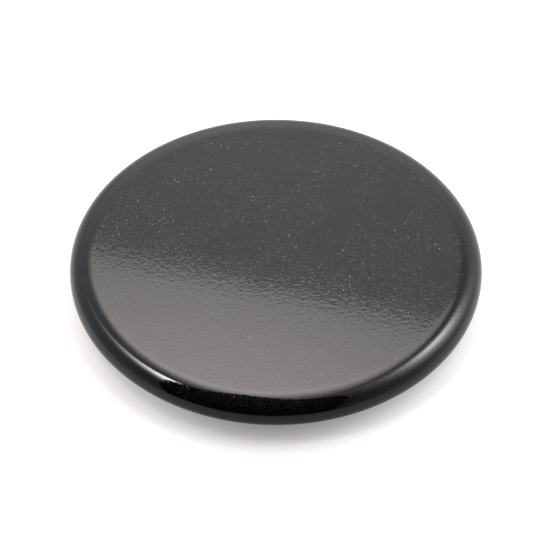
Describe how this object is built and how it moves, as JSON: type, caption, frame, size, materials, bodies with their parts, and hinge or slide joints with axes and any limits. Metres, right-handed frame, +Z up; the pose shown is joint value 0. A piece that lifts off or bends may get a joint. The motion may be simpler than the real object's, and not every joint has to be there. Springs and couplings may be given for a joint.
{
  "type": "gas burner cap",
  "caption": "Round black enamelled cap for a hob gas burner: flat top, soft shoulder, full round rim, and a locating ring underneath that drops into the burner crown.",
  "frame": {"origin": "on the cap's axis, in the plane of the locating ring's foot, which is the plane that the loose cap stands on", "axes": "+Z up along the cap's axis towards its top; the cap is round, so X and Y are any two directions across it"},
  "size_m": [0.075, 0.075, 0.0068],
  "materials": {
    "black_enamel": "gloss black vitreous enamel on steel, with a fine orange peel and pale pinpoint specks"
  },
  "bodies": {
    "root": {"burner_cap": "black_enamel"}
  },
  "joints": []
}
